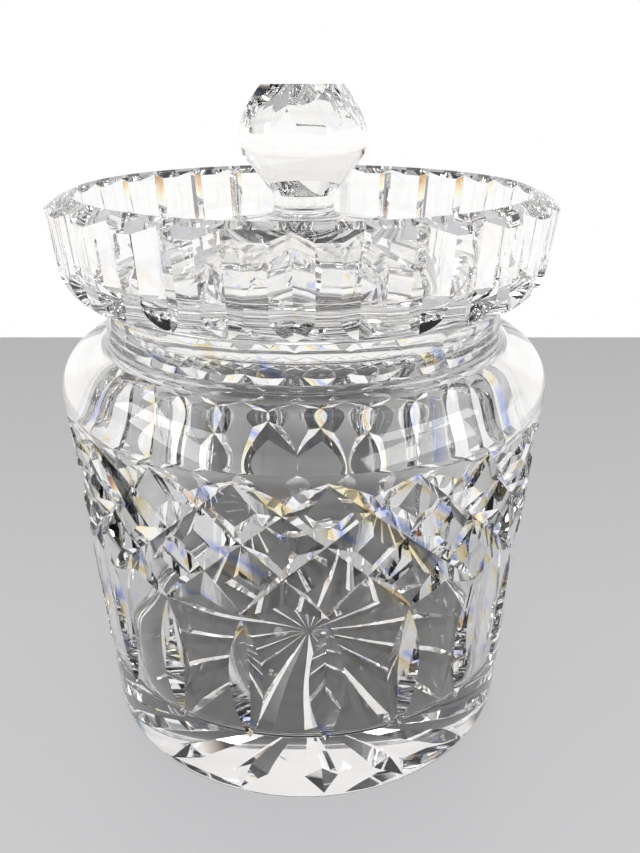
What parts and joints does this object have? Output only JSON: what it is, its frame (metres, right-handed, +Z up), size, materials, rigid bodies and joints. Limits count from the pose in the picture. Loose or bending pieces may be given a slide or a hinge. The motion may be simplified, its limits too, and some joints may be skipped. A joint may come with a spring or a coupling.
{
  "type": "biscuit jar",
  "caption": "Heavy cut-glass biscuit jar with a band of crossed mitre cuts, upright flutes, a star base and a lift-off dish-shaped lid with a faceted ball knob.",
  "frame": {"origin": "middle of the base, on the surface that the jar stands on", "axes": "+Z up along the jar's axis; a mitre crossing, a flute and a star ray face -Y"},
  "size_m": [0.1448, 0.1448, 0.1911],
  "materials": {
    "crystal": "clear, cut and polished"
  },
  "bodies": {
    "jar": {"jar": "crystal"},
    "lid": {"lid": "crystal", "knob": "crystal"}
  },
  "joints": [
    {"name": "lid_lift", "type": "slide", "parent": "jar", "child": "lid", "axis": [0, 0, 1], "range_m": [0, 0.15]}
  ]
}
